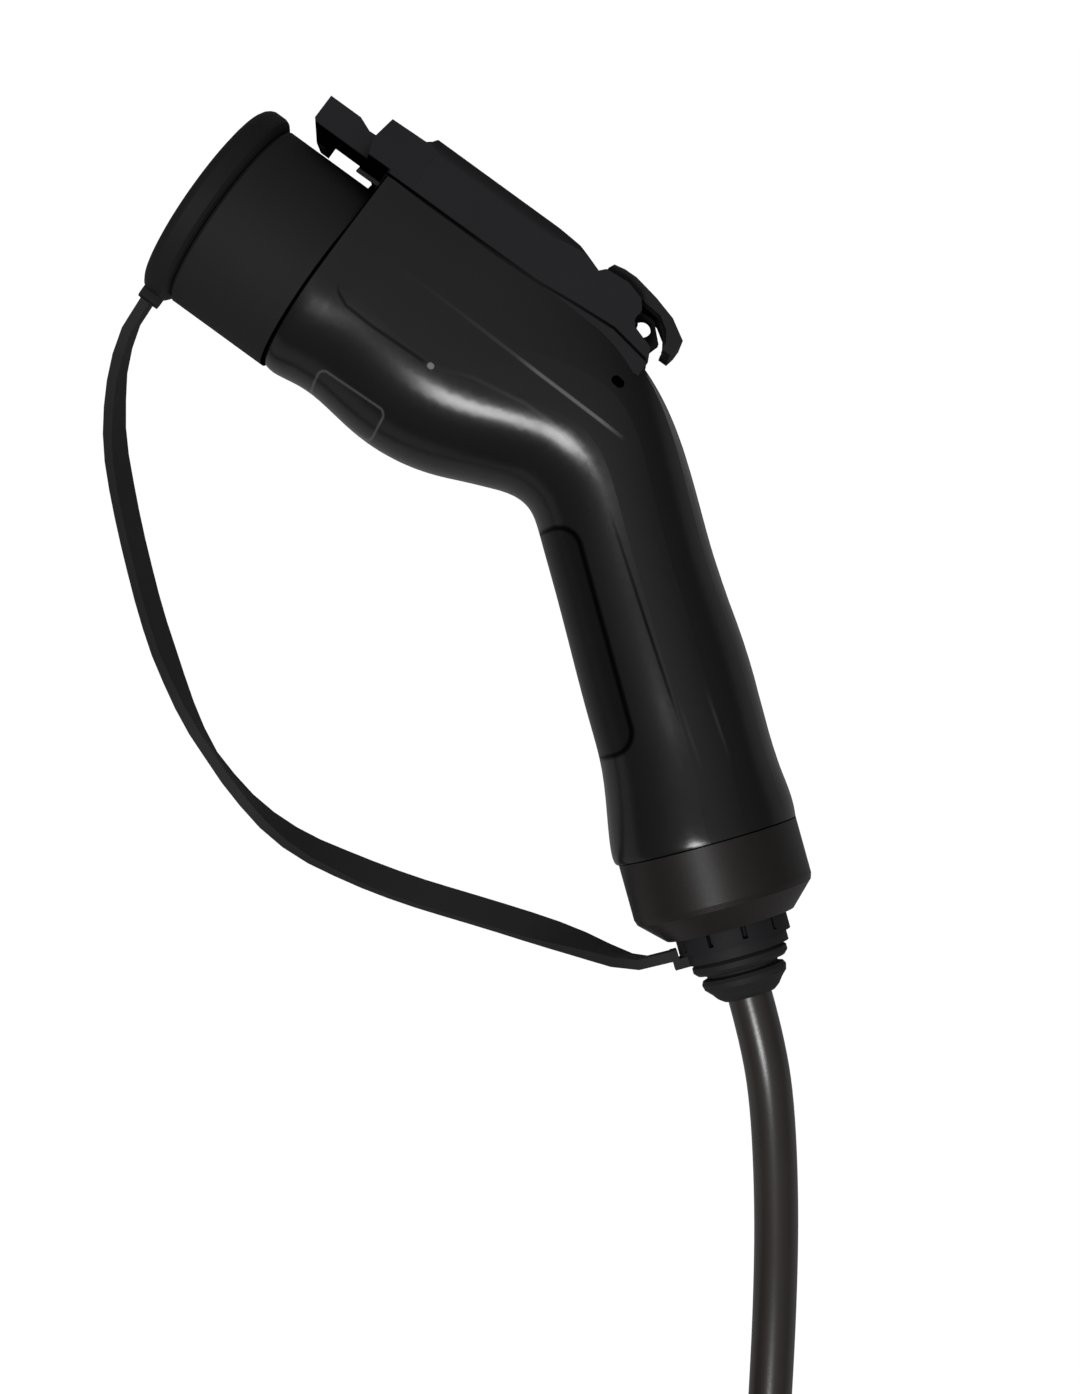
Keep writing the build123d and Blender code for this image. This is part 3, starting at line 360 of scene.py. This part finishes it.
# Nylon from a spark eroded tool: matt, with a slightly blue grey.
spark_eroded_pa = moulded_plastic(
    "spark eroded black nylon", "#252527", "#29292c", roughness=0.65, grain_mm=0.5, relief=0.12, specular=0.2,
    joint_and_shade_marks=lambda tree, place: [cover_seam(tree, place), under_cover(tree, place)])
# Nylon with less pigment: a warm black with a broad, dull highlight.
collar_pa = moulded_plastic("brown black nylon", "#221f1e", "#282423", roughness=0.42, grain_mm=0.5,
                            relief=0.12, specular=0.35)
# Thermoplastic elastomer: a soft, slightly dusty grey black.
soft_tpe = moulded_plastic("black soft elastomer", "#28282a", "#2d2d2f", roughness=0.65, grain_mm=0.4,
                           relief=0.12, specular=0.25)
# The cap's elastomer holds more carbon and is a little darker.
cap_tpe = moulded_plastic("black cap elastomer", "#212122", "#252526", roughness=0.65, grain_mm=0.4,
                          relief=0.12, specular=0.2)
# Elastomer moulded against a smooth tool: darker and closer than the cap.
pad_tpe = moulded_plastic(
    "black grip elastomer", "#161617", "#1a1a1b", roughness=0.3, grain_mm=0.4, relief=0.04, specular=0.2,
    joint_and_shade_marks=lambda tree, place: [pad_joint(tree, place)])
# Extruded polyurethane: a waxy, warm grey black with a highlight along the cable.
tpu_jacket = moulded_plastic("black polyurethane jacket", "#302b29", "#383330", roughness=0.3, grain_mm=0.7,
                             relief=0.1, specular=0.7)
# Polyester, moulded smooth: a cooler grey black than nylon.
insert_pbt = moulded_plastic("grey black polyester", "#202122", "#28292a", roughness=0.45, grain_mm=0.5,
                             relief=0.1)
# Nylon of a bought switch: plain and half matt.
switch_pa = moulded_plastic("switch case nylon", "#26262a", "#2c2c30", roughness=0.5, grain_mm=0.5,
                            relief=0.1)
# Epoxy glass under solder resist: a glossy bottle green.
green_laminate = moulded_plastic("green circuit laminate", "#12502a", "#176035", roughness=0.3, grain_mm=0.6,
                                 relief=0.05)
# Extruded vinyl on the cores: a smooth brown.
core_pvc = moulded_plastic("brown core insulation", "#4a3226", "#553a2c", roughness=0.4, grain_mm=0.6,
                           relief=0.05)
# Woven hook and loop band: black, dull and furry.
hook_tape = moulded_plastic("black tie band", "#151515", "#202020", roughness=0.8, grain_mm=0.6, relief=0.5)
# Drawn steel wire and turned pins: bright, with fine drawing marks.
spring_steel = metal("bright spring steel", "#b9babc", roughness=0.3, mark_mm=0.4)
# Brass under a thin coat of silver: pale and warm.
plated_brass = metal("silver plated brass", "#d5cfc0", roughness=0.25, mark_mm=0.4)

CAD_FINISH = {
    polished_pc: ["body_shell_left", "body_shell_right"],
    nozzle_pa: ["nozzle"],
    cap_tpe: ["dust_cap"],
    spark_eroded_pa: ["latch_cover", "latch_lever", "gland_body", "castle_nut", "cable_clamp"],
    collar_pa: ["end_collar"],
    pad_tpe: ["grip_pad"],
    soft_tpe: ["insert_gasket", "gland_seal", "strap_eye", "cable_bellows"],
    tpu_jacket: ["jacket_end"],
    insert_pbt: ["contact_insert", "contact_towers"],
    switch_pa: ["proximity_switch", "switch_plunger"],
    green_laminate: ["switch_board"],
    core_pvc: ["inner_wires", "core_tails"],
    hook_tape: ["cable_ties"],
    spring_steel: ["pivot_pin", "latch_spring", "clamp_screws", "shell_screws"],
    plated_brass: ["line_contact", "neutral_contact", "earth_contact", "pilot_contact", "proximity_contact",
                   "core_ferrules"],
}
for material, names in CAD_FINISH.items():
    for name in names:
        dress(nodes[name], material)


# --- cable, in millimetres ---------------------------------------------------------------------------
CABLE_MM = 9.6
RUN_POINTS = [
    (163.37, -69.42, 0.0), (171.04, -75.52, 0.0), (181.0, -85.2, -2.0), (195.5, -102.8, -8.0),
    (209.0, -121.3, -14.2), (223.0, -142.3, -18.0), (237.0, -164.5, -18.7), (249.0, -182.7, -18.6),
]
COIL_CENTRE = Vector((207.7, -239.2, 0.0))
COIL_MEAN_R = 52.8
COIL_ROWS = (4, 3, 4, 3)            # turns in each row, from the lowest: in, out, in and out again
ROW_RISE = CABLE_MM * sqrt(3) / 2
ROW_Z = -17.65
ENTRY_ANGLE = 36.0
TAIL_ANGLE = 240.0
TAIL_STEPS = (4.0, 16.0, 30.0, 44.0)
TAIL_SAG = 0.5
TURN_POINTS = 16
STEP_START = 0.75                   # share of a turn after which it steps to the next one
CORNER_PULL = 0.75 + 0.25 * cos(2 * pi / TURN_POINTS)   # how far a quadratic curve cuts inside its points


def coil_place(radius, angle, height):
    return COIL_CENTRE + Vector((radius * cos(angle), radius * sin(angle), height))


def coil_turns():
    """Radius and height of each turn, in the order in which it is wound."""
    turns = []
    for row, count in enumerate(COIL_ROWS):
        outermost = COIL_MEAN_R + (count - 1) * CABLE_MM / 2
        radii = [outermost - n * CABLE_MM for n in range(count)]
        if row % 2:
            radii.reverse()
        turns += [(radius, ROW_Z + row * ROW_RISE) for radius in radii]
    return turns


def coil_points():
    """Control points of the wound turns and of the straight tail that leaves them."""
    turns = coil_turns()
    points = []
    for n, (radius, height) in enumerate(turns):
        next_radius, next_height = turns[min(n + 1, len(turns) - 1)]
        for k in range(TURN_POINTS):
            share = max(0.0, (k / TURN_POINTS - STEP_START) / (1 - STEP_START))
            ease = share * share * (3 - 2 * share)
            r = (radius + (next_radius - radius) * ease) / CORNER_PULL
            angle = radians(ENTRY_ANGLE - 360 * k / TURN_POINTS)
            points.append(coil_place(r, angle, height + (next_height - height) * ease))
    last_radius, last_height = turns[-1]
    tail_height = last_height - TAIL_SAG
    part_turn = (ENTRY_ANGLE - TAIL_ANGLE) % 360
    for k in range(int(part_turn / 360 * TURN_POINTS) + 1):
        angle = radians(ENTRY_ANGLE - 360 * k / TURN_POINTS)
        points.append(coil_place(last_radius / CORNER_PULL, angle, tail_height))
    leave = radians(TAIL_ANGLE)
    heading = Vector((sin(leave), -cos(leave), 0.0))
    start = coil_place(last_radius, leave, tail_height)
    return points + [start + heading * distance for distance in TAIL_STEPS]


def charging_cable():
    """The whole cable as one curve, from the strain relief to the stripped end."""
    curve = bpy.data.curves.new("charging_cable", "CURVE")
    curve.dimensions = "3D"
    curve.bevel_depth = CABLE_MM * MM / 2
    curve.bevel_resolution = 6
    curve.resolution_u = 6
    curve.use_fill_caps = True
    route = [Vector(p) for p in RUN_POINTS] + coil_points()
    spline = curve.splines.new("NURBS")
    spline.points.add(len(route) - 1)
    for point, place in zip(spline.points, route):
        point.co = (*(place * MM), 1.0)
    spline.order_u = 3
    spline.use_endpoint_u = True
    curve.materials.append(tpu_jacket)
    cable = link_object("charging_cable", curve)
    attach(cable, "plug")
    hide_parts("cable_run", "cable_coil")


charging_cable()


# --- joined, smooth copies of the cap's strap and the latch's spring -------------------------------------
SHARP_ANGLE = radians(45)


def merged_copy(name, source):
    """A copy of a CAD node's mesh with its loose triangles joined."""
    mesh = nodes[source].data.copy()
    mesh.name = name
    form = bmesh.new()
    form.from_mesh(mesh)
    bmesh.ops.remove_doubles(form, verts=form.verts, dist=1e-6)
    for face in form.faces:
        face.smooth = True
    for edge in form.edges:
        edge.smooth = edge.calc_face_angle(0.0) < SHARP_ANGLE
    form.to_mesh(mesh)
    form.free()
    if "custom_normal" in mesh.attributes:
        mesh.attributes.remove(mesh.attributes["custom_normal"])
    return link_object(name, mesh)


def retaining_strap():
    """The dust cap's strap, as a joined and smooth copy of its CAD node; the real strap bends as the cap is
    pulled off.
    """
    strap = merged_copy("retaining_strap", "cap_strap")
    dress(strap, soft_tpe)
    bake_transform(strap)
    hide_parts("cap_strap")


def return_spring():
    """The latch's spring, as a joined and smooth copy on the plug's body; the real spring shortens as the
    thumb plate goes down.
    """
    spring = merged_copy("return_spring", "latch_spring")
    dress(spring, spring_steel)
    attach(spring, "plug")
    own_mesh(spring)
    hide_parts("latch_spring")


retaining_strap()
return_spring()


# --- floor, lamp, camera and room ----------------------------------------------------------------------
FLOOR_Z = cad_bounds[0].z
FLOOR_GAP = 0.0002
FLOOR_SIZE = 6.0
FLOOR_SHADE = "#b4b4b4"             # what the plug's gloss reflects, so that its underside stays dark
WHITE = (1.0, 1.0, 1.0, 1.0)
WHITE_SHARE = 0.97                  # the rest of the floor is shaded, and keeps a trace of shadow
WHITE_LEVEL = 1.04                  # makes up for that share
VIEW_CENTRE = Vector((0.0897, -0.0443, 0.0))
VIEW_RIGHT = Vector((0.809, 0.588, 0.0))
VIEW_UP = Vector((-0.588, 0.809, 0.0))
VIEW_DISTANCE = 0.7
VIEW_HEIGHT = 0.2978
SENSOR = 36.0
SKY = [(0.0, 0.1), (0.08, 0.07), (0.6, 0.14), (0.85, 0.28), (1.0, 0.38)]    # sine of the elevation, and light


def view_place(right, up, height):
    return VIEW_CENTRE + VIEW_RIGHT * right + VIEW_UP * up + Vector((0, 0, height))


def white_floor():
    bpy.ops.mesh.primitive_plane_add(size=FLOOR_SIZE, location=(0.1, -0.05, FLOOR_Z - FLOOR_GAP))
    floor = bpy.context.object
    floor.name = "floor"
    material, tree = new_material("white card")
    diffuse = add_node(tree, "ShaderNodeBsdfDiffuse", Color=linear(FLOOR_SHADE))
    glow = add_node(tree, "ShaderNodeEmission", Color=WHITE, Strength=WHITE_LEVEL)
    path = add_node(tree, "ShaderNodeLightPath")
    share = add_node(tree, "ShaderNodeMath", {"operation": "MULTIPLY"},
                     in0=path.outputs["Is Camera Ray"], in1=WHITE_SHARE)
    mix = add_node(tree, "ShaderNodeMixShader", Fac=share.outputs[0])
    tree.links.new(diffuse.outputs[0], mix.inputs[1])
    tree.links.new(glow.outputs[0], mix.inputs[2])
    finish_material(tree, mix)
    floor.data.materials.append(material)


def softbox(name, place, aim, size, power):
    lamp = bpy.data.lights.new(name, "AREA")
    lamp.shape = "RECTANGLE"
    lamp.size, lamp.size_y = size
    lamp.energy = power
    holder = link_object(name, lamp)
    holder.location = place
    holder.rotation_euler = (Vector(aim) - Vector(place)).to_track_quat("-Z", "Y").to_euler()


def overhead_camera():
    data = bpy.data.cameras.new("camera")
    data.sensor_width = SENSOR
    data.lens = SENSOR * VIEW_DISTANCE / VIEW_HEIGHT
    camera = link_object("camera", data)
    turn = Matrix((VIEW_RIGHT, VIEW_UP, (0, 0, 1))).transposed().to_4x4()
    camera.matrix_world = Matrix.Translation(view_place(0, 0, VIEW_DISTANCE)) @ turn
    bpy.context.scene.camera = camera


def studio():
    """Room with a pale ceiling and dim walls, and white where only the camera sees it."""
    world = bpy.data.worlds.new("studio")
    bpy.context.scene.world = world
    world.use_nodes = True
    tree = world.node_tree
    tree.nodes.clear()
    direction = add_node(tree, "ShaderNodeTexCoord").outputs["Generated"]
    axes = add_node(tree, "ShaderNodeSeparateXYZ", Vector=direction)
    ramp = add_node(tree, "ShaderNodeValToRGB", Fac=axes.outputs["Z"])
    points = ramp.color_ramp.elements
    while len(points) < len(SKY):
        points.new(0.5)
    for point, (height, level) in zip(points, SKY):
        point.position = height
        point.color = (level, level, level, 1.0)
    seen = add_node(tree, "ShaderNodeLightPath").outputs["Is Camera Ray"]
    strength = add_node(tree, "ShaderNodeMath", {"operation": "MAXIMUM"}, in0=ramp.outputs["Color"], in1=seen)
    shader = add_node(tree, "ShaderNodeBackground", Color=WHITE, Strength=strength.outputs[0])
    add_node(tree, "ShaderNodeOutputWorld", Surface=shader.outputs[0])


white_floor()
softbox("key", view_place(-0.15, -0.37, 1.0), VIEW_CENTRE, (0.27, 0.27), 4.6)
overhead_camera()
studio()
bpy.context.scene.view_settings.view_transform = "Standard"
